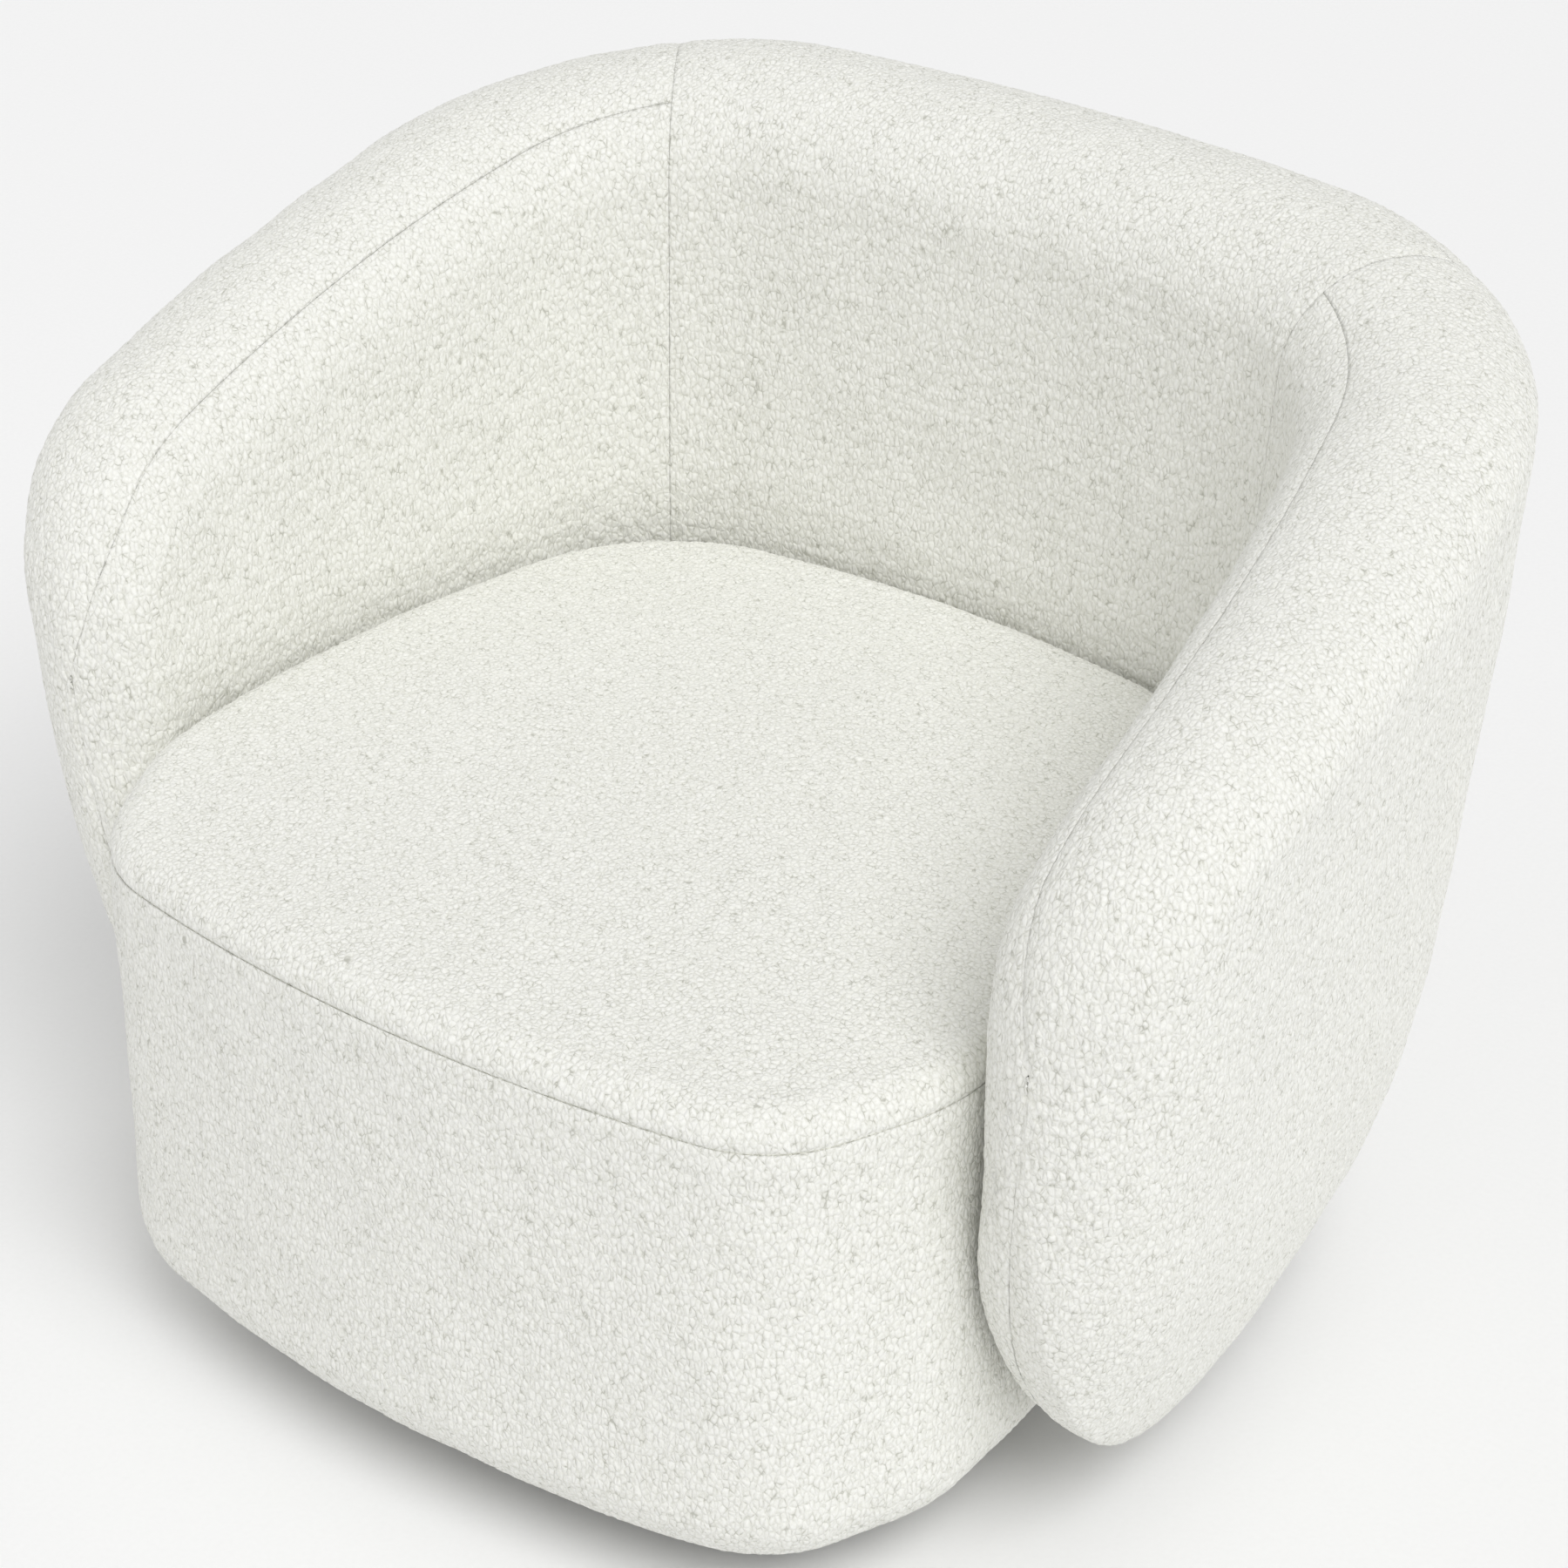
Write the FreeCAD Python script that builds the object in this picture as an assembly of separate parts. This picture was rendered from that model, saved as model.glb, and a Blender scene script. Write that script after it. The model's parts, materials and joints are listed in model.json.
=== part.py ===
"""Upholstered swivel tub armchair: a round base, a ball-race turntable, an upholstered seat block
and a thick padded wall that wraps round it as one back and two arms.

Millimetres, +Z up, origin on the floor at the middle of the chair's box, the seat opens towards -Y.
The wall follows one plan line: an arc behind the sitter, a tighter arc at each rear corner and a
long flat arc along each arm.  A place on the wall is given by s, the distance along that line from
the middle of the back (left negative), by n, the distance outwards from the line, and by z.
"""

import FreeCAD, Part
import math
import os

V = FreeCAD.Vector

# ---- driving dimensions ----
CHAIR_HEIGHT = 725.0
BACK_LINE_Y = 301.0          # plan line of the wall at the middle of the back
BACK_RADIUS = 1358.0
BACK_HALF_ANGLE = math.radians(8.35)
CORNER_RADIUS = 193.0
CORNER_ANGLE = math.radians(66.5)
ARM_RADIUS = 1452.0
WALL_HALF_LENGTH = 835.0     # along the plan line, middle of the back to the tip of an arm
WALL_THICKNESS = 146.0
WALL_BOTTOM_Z = 50.0
FABRIC = 3.0                 # boucle cloth with its lining

ARM_DROP = 168.0             # how far the top edge falls towards the tip
ARM_DROP_START = 202.0
ARM_DROP_POWER = 1.43
NOSE_Z = 423.0               # height of the foremost point of an arm
NOSE_TOP_LENGTH = 120.0
NOSE_BOTTOM_LENGTH = 242.0
NOSE_POWER = 2.55
NOSE_ROUND_OUT = 105.0
NOSE_ROUND_IN = 45.0
TOP_ROUND = 48.0
UNDER_ROUND_OUT = 230.0
UNDER_ROUND_IN = 58.0
UNDER_KEEL_N = 26.0          # n of the lowest line of the wall, before it leans
LEAN_Z = 427.0               # height at which the wall stands on its plan line
LEAN_OUT = 0.088
LEAN_BEND = 0.000049
ARM_THINNING = 0.12          # share of the thickness lost towards the tip
ARM_PINCH = 12.0             # and how far the tip moves in towards the sitter

SEAT_FRONT_Y = -395.0
SEAT_BOTTOM_Z = 35.0
SEAT_SEAM_Z = 392.0
SEAT_CROWN_Z = 412.0
SEAT_EDGE_ROUND = 24.0
SEAT_UNDER_ROUND = 60.0
SEAT_GAP = 5.0               # air between the seat block and the wall
TIP_ALLOWANCE = 4.0          # more beside the arms, whose inner faces draw in towards the tips
FRONT_RADIUS = 989.0
FLANK_RADIUS = 874.0
FLANK_CENTRE = V(-490.0, 77.0, 0)
FRONT_CORNER_RADIUS = 100.0
SHOULDER_RADIUS = 160.0
REAR_CORNER_RADIUS = 150.0

BOARD_Z = 38.0               # underside of the seat's bottom board
BOARD_INSET = 60.0
BOX_TOP_Z = 300.0
BOX_INSET = 20.0
PLY = 18.0
FAR = 900.0                  # beyond the chair, for cutting shapes
TOL = 0.001

FRAME_IN = -30.0             # the wall's frame boards lie between these two n
FRAME_OUT = 6.0
LINING = 3.0
SILL_Z = 100.0
TOP_RAIL_Z = 662.0
RAIL_DEPTH = 22.0
FRAME_REAR_S = 330.0         # the level top rail ends here and the sloping one starts
SILL_END_S = 520.0
FRAME_TIP_S = 760.0
TIP_BOTTOM_Z = 230.0
TIP_TOP_Z = 520.0
POST_WIDTH = 36.0
BACK_POSTS_S = (-300.0, -110.0, 110.0, 300.0)
ARM_POST_S = 520.0
TIP_POST_WIDTH = 30.0
MID_RAIL_Z = 255.0

BASE_RADIUS = 235.0
GLIDE_HEIGHT = 5.0
PLATE = 3.0
PLATE_SIDE = 260.0
BALL_RADIUS = 4.3
BALL_COUNT = 30
BALL_CIRCLE = 100.0
TUBE_RADIUS = 20.0
JOIN_BOLT_Z = MID_RAIL_Z + 15.0
BACK_BOLT_S = 150.0
ARM_BOLT_S = 590.0

SPRING_WIRE = 1.9            # radius
SPRINGS_X = (-170.0, -85.0, 0.0, 85.0, 170.0)
SPRING_ENDS_Y = (-352.0, 178.0)

BACK_SEAM_N = 45.0           # the seam over the back lies near the top's outer edge
ARM_SEAM_N = -48.0           # and over the arms near its inner edge
SEAM_START_Z = 500.0         # below this the fabric is split at the middle of the frame


# ---- plan lines ----
def place_on_circle(centre, radius, angle):
    """Point on a circle, the angle turned from +Y towards +X."""
    return V(centre.x + radius * math.sin(angle), centre.y + radius * math.cos(angle), 0)


def arc_edge(centre, radius, start, end):
    """Arc between two such angles."""
    points = [place_on_circle(centre, radius, a) for a in (start, (start + end) / 2, end)]
    return Part.Arc(*points).toShape()


def wall_arc_list():
    """The five arcs of the wall's plan line, left tip to right tip: centre, radius, angles, s."""
    back_centre = V(0, BACK_LINE_Y - BACK_RADIUS, 0)
    turn = BACK_HALF_ANGLE + CORNER_ANGLE
    corner_centre = place_on_circle(back_centre, BACK_RADIUS - CORNER_RADIUS, BACK_HALF_ANGLE)
    arm_centre = place_on_circle(corner_centre, CORNER_RADIUS - ARM_RADIUS, turn)
    corner_s = BACK_RADIUS * BACK_HALF_ANGLE
    arm_s = corner_s + CORNER_RADIUS * CORNER_ANGLE
    arm_end = turn + (WALL_HALF_LENGTH - arm_s) / ARM_RADIUS
    right = [
        (corner_centre, CORNER_RADIUS, BACK_HALF_ANGLE, turn, corner_s),
        (arm_centre, ARM_RADIUS, turn, arm_end, arm_s),
    ]
    left = []
    for centre, radius, start, end, s_start in right:
        s_end = s_start + radius * (end - start)
        left.insert(0, (V(-centre.x, centre.y, 0), radius, -end, -start, -s_end))
    return left + [(back_centre, BACK_RADIUS, -BACK_HALF_ANGLE, BACK_HALF_ANGLE, -corner_s)] + right


WALL_ARCS = wall_arc_list()
CORNER_CENTRE = WALL_ARCS[3][0]
ARM_CENTRE = WALL_ARCS[4][0]
CORNER_SEAM_S = 281.0        # where the inside back meets the inside arm


def wall_place(s, n):
    """Plan point at distance s along the wall and n outwards from its line."""
    for centre, radius, start, end, s_start in WALL_ARCS:
        angle = start + (s - s_start) / radius
        if angle <= end + TOL:
            return place_on_circle(centre, radius + n, angle)
    return place_on_circle(centre, radius + n, angle)


def wall_line(n, s_from, s_to):
    """Edges of the wall's plan line, moved outwards by n, between two places along it."""
    edges = []
    for centre, radius, start, end, s_start in WALL_ARCS:
        low = max(s_from, s_start)
        high = min(s_to, s_start + radius * (end - start))
        if high - low > TOL:
            angles = [start + (s - s_start) / radius for s in (low, high)]
            edges.append(arc_edge(centre, radius + n, *angles))
    return edges


def prism(edges, z_from, z_to):
    """Solid standing on a closed plan outline."""
    face = Part.Face(Part.Wire(Part.__sortEdges__(edges)))
    face.translate(V(0, 0, z_from))
    return face.extrude(V(0, 0, z_to - z_from))


def wall_band(n_in, n_out, s_from, s_to, z_from, z_to):
    """A board bent to the wall's plan line."""
    ends = [
        Part.makeLine(wall_place(s, n_in), wall_place(s, n_out))
        for s in (s_from, s_to)
    ]
    lines = wall_line(n_in, s_from, s_to) + wall_line(n_out, s_from, s_to)
    return prism(lines + ends, z_from, z_to)


def inside_of_wall(n):
    """Everything inside the wall line moved outwards by n, its ends carried on 60 mm forwards."""
    tips = [wall_place(s, n) for s in (-WALL_HALF_LENGTH, WALL_HALF_LENGTH)]
    front = [V(tip.x, tip.y - 60, 0) for tip in tips]
    sides = [Part.makeLine(a, b) for a, b in zip(tips, front)]
    closing = [Part.makeLine(front[0], front[1])]
    return prism(wall_line(n, -WALL_HALF_LENGTH, WALL_HALF_LENGTH) + sides + closing, 0, FAR)


def back_wedge():
    """Everything behind the two corner seams, which are square to the wall."""
    outer = [wall_place(s, 300) for s in (-CORNER_SEAM_S, CORNER_SEAM_S)]
    far = [V(p.x, FAR, 0) for p in outer]
    left_centre = V(-CORNER_CENTRE.x, CORNER_CENTRE.y, 0)
    outline = [left_centre, outer[0], far[0], far[1], outer[1], CORNER_CENTRE, left_centre]
    return Part.Face(Part.makePolygon(outline)).extrude(V(0, 0, FAR))


# ---- the wall's section ----
def round_in(distance, size):
    """Fraction of full width at a distance inside an elliptical rounding of that size."""
    u = min(max(distance / size, 0.0), 1.0)
    return math.sqrt(1 - (1 - u) ** 2)


def super_quarter(k):
    """Quarter of a superellipse: 1 at the start of a nose, 0 at its tip."""
    return max(1 - min(max(k, 0.0), 1.0) ** NOSE_POWER, 0.0) ** (1 / NOSE_POWER)


def smooth_step(k):
    """0 below 0, 1 above 1, with a soft start and end."""
    k = min(max(k, 0.0), 1.0)
    return k * k * (3 - 2 * k)


def wall_heights(s, inset):
    """Bottom and top of the wall at s, drawn in by inset."""
    from_tip = WALL_HALF_LENGTH - abs(s)
    fall = max(abs(s) - ARM_DROP_START, 0) / (WALL_HALF_LENGTH - ARM_DROP_START)
    crest = CHAIR_HEIGHT - ARM_DROP * fall ** ARM_DROP_POWER
    reach = from_tip - inset
    top = NOSE_Z + (crest - NOSE_Z - inset) * super_quarter(1 - reach / NOSE_TOP_LENGTH)
    depth = NOSE_Z - WALL_BOTTOM_Z - inset
    bottom = NOSE_Z - depth * super_quarter(1 - reach / NOSE_BOTTOM_LENGTH)
    return bottom, top


def wall_section(s, inset):
    """Closed section of the padded wall at s: a leaning pillow, rounder outside than inside."""
    bottom, top = wall_heights(s, inset)
    from_tip = WALL_HALF_LENGTH - abs(s) - inset
    towards_tip = smooth_step((abs(s) / WALL_HALF_LENGTH - 0.45) / 0.55)
    half = WALL_THICKNESS / 2 * (1 - ARM_THINNING * towards_tip) - inset
    height = top - bottom
    plan = wall_place(s, 0)
    outward = wall_place(s, 1) - plan
    points = []
    faces = ((-1, NOSE_ROUND_IN, UNDER_ROUND_IN), (1, NOSE_ROUND_OUT, UNDER_ROUND_OUT))
    for side, nose_round, under in faces:
        reach = half * round_in(from_tip, nose_round)
        under = min(under, 0.55 * height)
        over = min(TOP_ROUND, 0.4 * height)
        steps = [bottom + under * (1 - math.cos(a)) for a in (0.45, 0.9, 1.3)]
        steps += [bottom + under + (height - under - over) * k for k in (0.12, 0.5, 0.88)]
        steps += [top - over * (1 - math.cos(a)) for a in (1.3, 0.9, 0.45)]
        side_points = []
        for z in steps:
            keel = UNDER_KEEL_N * round_in(from_tip, NOSE_ROUND_OUT) * (1 - round_in(z - bottom, under))
            width = round_in(z - bottom, under) * round_in(top - z, over)
            n = keel + (side * reach - keel) * width - ARM_PINCH * towards_tip
            rise = z - LEAN_Z
            if side > 0 or rise > 0:
                n += LEAN_OUT * rise - LEAN_BEND * rise ** 2
            side_points.append(plan + outward * n + V(0, 0, z))
        points.append(side_points)
    return points[0] + points[1][::-1]


def wall_solid(inset):
    """The padded wall, lofted through its sections from the left tip to the right tip."""
    half = [0, 100, 198, 240, 281, 330, 375, 421, 500, 593, 660, 715, 750, 780, 800, 815, 826, 831]
    stations = [-s for s in half[:0:-1]] + half
    shorter = 1 - 2 * inset / half[-1]
    wires = []
    for s in stations:
        spline = Part.BSplineCurve()
        spline.interpolate(Points=wall_section(s * shorter, inset), PeriodicFlag=True)
        wires.append(Part.Wire(spline.toShape()))
    return Part.makeLoft(wires, True, False)


# ---- the seat block's outline ----
def rounding_centre(one, two, radius):
    """Centre of the arc of that radius that rounds the corner where two circles cross."""
    (a, ra), (b, rb) = one, two
    da = ra - radius
    db = rb - radius
    span = (b - a).Length
    along = (b - a) * (1 / span)
    across = V(along.y, -along.x, 0)
    x = (da ** 2 - db ** 2 + span ** 2) / (2 * span)
    y = math.sqrt(da ** 2 - x ** 2)
    return max((a + along * x + across * k for k in (y, -y)), key=lambda p: p.x)


def seat_outline(inset):
    """Edges of the seat block's plan outline, drawn in by inset."""
    wall_face = WALL_THICKNESS / 2 + SEAT_GAP
    sides = [
        (V(0, SEAT_FRONT_Y + FRONT_RADIUS, 0), FRONT_RADIUS),
        (FLANK_CENTRE, FLANK_RADIUS),
        (ARM_CENTRE, ARM_RADIUS - wall_face - TIP_ALLOWANCE),
        (V(0, BACK_LINE_Y - BACK_RADIUS, 0), BACK_RADIUS - wall_face),
    ]
    corners = (FRONT_CORNER_RADIUS, SHOULDER_RADIUS, REAR_CORNER_RADIUS)
    circles = [sides[0]]
    for one, two, radius in zip(sides, sides[1:], corners):
        circles += [(rounding_centre(one, two, radius), radius), two]
    joints = [V(0, SEAT_FRONT_Y, 0)]
    for (a, ra), (b, rb) in zip(circles, circles[1:]):
        big, small = ((a, ra), b) if ra > rb else ((b, rb), a)
        joints.append(big[0] + (small - big[0]).normalize() * big[1])
    joints.append(V(0, BACK_LINE_Y - wall_face, 0))
    edges = []
    for (centre, radius), start, end in zip(circles, joints, joints[1:]):
        middle = centre + ((start - centre) + (end - centre)).normalize() * radius
        points = [centre + (p - centre) * ((radius - inset) / radius) for p in (start, middle, end)]
        edges.append(Part.Arc(*points).toShape())
        edges.append(Part.Arc(*[V(-p.x, p.y, 0) for p in points]).toShape())
    return edges


def seat_prism(inset, z_from, z_to):
    """Upright block on the seat's outline, drawn in by inset."""
    return prism(seat_outline(inset), z_from, z_to)


def seat_solid(inset):
    """The upholstered seat block: domed on top, softly rounded above and more so below."""
    bottom = SEAT_BOTTOM_Z + inset
    block = seat_prism(inset, bottom, SEAT_CROWN_Z)
    dome_radius = 3600.0
    dome_y = (SEAT_FRONT_Y + BACK_LINE_Y - WALL_THICKNESS / 2) / 2
    dome = Part.makeSphere(dome_radius, V(0, dome_y, SEAT_CROWN_Z - inset - dome_radius))
    block = block.common(dome)
    upper = [e for e in block.Edges if e.BoundBox.ZMin > BOX_TOP_Z]
    block = block.makeFillet(SEAT_EDGE_ROUND - inset, upper)
    lower = [e for e in block.Edges if e.BoundBox.ZMax < bottom + 1]
    return block.makeFillet(SEAT_UNDER_ROUND - inset, lower)


# ---- small shapes ----
def cylinder(radius, z_from, z_to, x=0.0, y=0.0):
    """Upright round bar."""
    return Part.makeCylinder(radius, z_to - z_from, V(x, y, z_from))


def box(x_from, x_to, y_from, y_to, z_from, z_to):
    """Block between two corners."""
    size = (x_to - x_from, y_to - y_from, z_to - z_from)
    return Part.makeBox(*size, V(x_from, y_from, z_from))


def at_corners(reach, make):
    """The same shape at the four corners of a square of half side reach."""
    return Part.makeCompound([make(x, y) for x in (-reach, reach) for y in (-reach, reach)])


def mirrored_pair(shape):
    """A shape and its mirror image across the chair's middle."""
    return Part.makeCompound([shape, shape.mirror(V(0, 0, 0), V(1, 0, 0))])


def save(name, shape):
    """One STEP file for a node."""
    shape.exportStep("parts/" + name + ".step")


def side_cut(points):
    """Right-hand block whose side view is the polygon of (s, z) points, each s taken as its y.

    Points at s = 0 stand well behind the back.
    """
    outline = [V(0, wall_place(s, 0 if s else WALL_THICKNESS).y, z) for s, z in points]
    return Part.Face(Part.makePolygon(outline + outline[:1])).extrude(V(600, 0, 0))


# ---- base and turntable ----
def make_base():
    """The wooden disc on the floor, its glides, and the fixed half of the turntable."""
    disc_top = GLIDE_HEIGHT + PLY
    plate_top = disc_top + PLATE
    board_top = BOARD_Z + PLY
    upper_z = BOARD_Z - PLATE
    screw_reach = PLATE_SIDE / 2 - 15
    bolt_reach = screw_reach - 10
    screw_radius = 2.5

    glides = []
    for k in range(6):
        spot = place_on_circle(V(0, 0, 0), BASE_RADIUS - 30, math.radians(60 * k))
        glides.append(cylinder(14, 0, GLIDE_HEIGHT, spot.x, spot.y))
    save("base_glides", Part.makeCompound(glides))

    def screw(x, y):
        head = cylinder(4.5, plate_top, plate_top + 2.4, x, y)
        return cylinder(screw_radius, disc_top - 12, plate_top, x, y).fuse(head)

    screws = at_corners(screw_reach, screw)
    save("lower_plate_screws", screws)
    disc = cylinder(BASE_RADIUS, GLIDE_HEIGHT, disc_top)
    disc = disc.makeFillet(3, [e for e in disc.Edges if e.Length > BASE_RADIUS])
    foot_radius = TUBE_RADIUS + 10
    disc = disc.cut(cylinder(foot_radius, disc_top - PLATE, disc_top)).cut(screws)
    save("base_disc", disc)

    def plate(z, hole_radius):
        half = PLATE_SIDE / 2
        blank = box(-half, half, -half, half, z, z + PLATE)
        upright = [e for e in blank.Edges if abs(e.BoundBox.ZLength - PLATE) < TOL]
        return blank.makeFillet(20, upright).cut(cylinder(hole_radius, z, z + PLATE))

    save("swivel_lower_plate", plate(disc_top, TUBE_RADIUS).cut(screws))

    play = 0.6
    collar_z = BOARD_Z + play
    tube = cylinder(TUBE_RADIUS, disc_top - PLATE, collar_z + 2)
    tube = tube.fuse(cylinder(foot_radius, disc_top - PLATE, disc_top))
    tube = tube.fuse(cylinder(TUBE_RADIUS + 12, collar_z, collar_z + 2))
    save("centre_tube", tube.cut(cylinder(TUBE_RADIUS - 4, 0, collar_z + 2)).removeSplitter())

    ball_z = plate_top + BALL_RADIUS
    turns = [2 * math.pi * k / BALL_COUNT for k in range(BALL_COUNT)]
    spots = [place_on_circle(V(0, 0, 0), BALL_CIRCLE, turn) for turn in turns]
    balls = [Part.makeSphere(BALL_RADIUS, p + V(0, 0, ball_z)) for p in spots]
    save("bearing_balls", Part.makeCompound(balls))
    cage_low = ball_z - 1
    cage_high = ball_z + 1
    cage = cylinder(BALL_CIRCLE + 9, cage_low, cage_high)
    cage = cage.cut(cylinder(BALL_CIRCLE - 9, cage_low, cage_high))
    pockets = [cylinder(BALL_RADIUS + 0.2, cage_low, cage_high, p.x, p.y) for p in spots]
    save("ball_cage", cage.cut(Part.makeCompound(pockets)))

    nut_barrel = 4.5
    bolt_radius = 3.0

    def bolt(x, y):
        head = cylinder(6, upper_z - 2.5, upper_z, x, y)
        return cylinder(bolt_radius, upper_z, board_top + 4, x, y).fuse(head)

    def nut(x, y):
        barrel = cylinder(nut_barrel, board_top - 10, board_top, x, y)
        flange = cylinder(9.5, board_top, board_top + 1.5, x, y)
        bore = cylinder(bolt_radius, BOARD_Z, board_top + 2, x, y)
        return barrel.fuse(flange).cut(bore).removeSplitter()

    bolts = at_corners(bolt_reach, bolt)
    nuts = at_corners(bolt_reach, nut)
    save("upper_plate_bolts", bolts)
    save("t_nuts", nuts)
    save("swivel_upper_plate", plate(upper_z, TUBE_RADIUS + 1).cut(bolts))
    board = seat_prism(BOARD_INSET, BOARD_Z, board_top)
    board = board.cut(cylinder(TUBE_RADIUS + 20, BOARD_Z, board_top))
    save("bottom_board", board.cut(bolts).cut(nuts))


# ---- seat ----
def spring(x, y_from, y_to, z):
    """One sinuous spring: straight bars across, joined by half circles left and right."""
    loops = 25
    radius = (y_to - y_from) / (2 * loops)
    reach = 18.0
    edges = []
    for k in range(loops + 1):
        y = y_from + 2 * radius * k
        side = 1 if k % 2 else -1
        edges.append(Part.makeLine(V(x - reach * side, y, z), V(x + reach * side, y, z)))
        if k < loops:
            steps = ((0, 0), (radius, radius), (0, 2 * radius))
            bend = [V(x + (reach + out) * side, y + along, z) for out, along in steps]
            edges.append(Part.Arc(*bend).toShape())
    path = Part.Wire(edges)
    first = path.Vertexes[0].Point
    ring = Part.Wire(Part.makeCircle(SPRING_WIRE, first, V(1, 0, 0)))
    return path.makePipeShell([ring], True, False)


def join_bolts():
    """Bolts from the seat box out into the wall's mid rails, their inserts, and both sets of holes."""
    bolts = []
    inserts = []
    shanks = []
    pockets = []
    insert_depth = 20.0
    places = [(side * BACK_BOLT_S, -(WALL_THICKNESS / 2 + SEAT_GAP)) for side in (-1, 1)]
    places += [(side * ARM_BOLT_S, -(WALL_THICKNESS / 2 + SEAT_GAP + TIP_ALLOWANCE)) for side in (-1, 1)]
    for s, face in places:
        head_n = face - BOX_INSET - PLY
        out = wall_place(s, 1) - wall_place(s, 0)

        def bar(radius, n_from, n_to):
            return Part.makeCylinder(radius, n_to - n_from, wall_place(s, n_from) + V(0, 0, JOIN_BOLT_Z), out)

        shank = bar(4, head_n, FRAME_OUT - 8)
        bolts.append(shank.fuse(bar(9, head_n - 5, head_n)))
        inserts.append(bar(6.5, FRAME_IN + 0.5, FRAME_IN + insert_depth).cut(shank))
        shanks.append(shank)
        pockets.append(bar(6.5, FRAME_IN - 1, FRAME_IN + insert_depth))
    return [Part.makeCompound(group) for group in (bolts, inserts, shanks, pockets)]


def make_seat(holes):
    """The box of rails, the springs and padding on it, and the fabric round it."""
    walls_z = BOARD_Z + PLY + 4
    inner = seat_prism(BOX_INSET + PLY, BOARD_Z + PLY, BOX_TOP_Z)
    box_wall = seat_prism(BOX_INSET, walls_z, BOX_TOP_Z).cut(inner).cut(holes)
    front_y = -240.0
    rear_y = 150.0
    save("seat_front_rail", box_wall.common(box(-FAR, FAR, -FAR, front_y, 0, FAR)))
    save("seat_rear_rail", box_wall.common(box(-FAR, FAR, rear_y, FAR, 0, FAR)))
    save("seat_left_rail", box_wall.common(box(-FAR, 0, front_y, rear_y, 0, FAR)))
    save("seat_right_rail", box_wall.common(box(0, FAR, front_y, rear_y, 0, FAR)))

    cross = [box(-FAR, FAR, y - 15, y + 15, BOARD_Z + PLY, 120).common(inner) for y in (-170.0, 130.0)]
    save("cross_rails", Part.makeCompound(cross))
    places = [(x, y) for x in (-235, 235) for y in (-260, 110)]
    blocks = [box(x - 40, x + 40, y - 40, y + 40, 120, BOX_TOP_Z).common(inner) for x, y in places]
    save("corner_blocks", Part.makeCompound(blocks))

    clip_z = BOX_TOP_Z
    spring_z = clip_z + 1.5 + SPRING_WIRE
    save("seat_springs", Part.makeCompound([spring(x, *SPRING_ENDS_Y, spring_z) for x in SPRINGS_X]))
    clips = []
    for x in SPRINGS_X:
        for y, out in zip(SPRING_ENDS_Y, (-1, 1)):
            y_back = y + out * 3
            y_open = y - out * 5
            low, high = sorted((y_back + out * 1.2, y_open))
            body = box(x - 13, x + 13, low, high, clip_z, clip_z + 7)
            low, high = sorted((y_back, y_open))
            clips.append(body.cut(box(x - 13, x + 13, low, high, clip_z + 1.2, clip_z + 5.8)))
    save("spring_clips", Part.makeCompound(clips))
    felt_z = clip_z + 7.5
    save("spring_felt", seat_prism(BOX_INSET + 8, felt_z, felt_z + 4))

    outside = seat_solid(0)
    inside = seat_solid(FABRIC)
    cushion_z = felt_z + 4
    save("seat_cushion_foam", inside.common(box(-FAR, FAR, -FAR, FAR, cushion_z, FAR)))
    padding = inside.common(box(-FAR, FAR, -FAR, FAR, walls_z, cushion_z)).cut(seat_prism(BOX_INSET, 0, FAR))
    save("seat_wall_foam", padding.cut(holes))
    skin = outside.cut(inside)
    save("seat_top_cover", skin.common(box(-FAR, FAR, -FAR, FAR, SEAT_SEAM_Z - 8, FAR)))
    under_inset = 70.0
    boxing = skin.common(box(-FAR, FAR, -FAR, FAR, 0, SEAT_SEAM_Z - 8)).cut(seat_prism(under_inset, 0, 100))
    save("seat_boxing", boxing.cut(holes))
    half = PLATE_SIDE / 2 + 1
    opening = box(-half, half, -half, half, 0, 100)
    save("dust_cover", seat_prism(under_inset, SEAT_BOTTOM_Z + 1.5, SEAT_BOTTOM_Z + 2.5).cut(opening))


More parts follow.
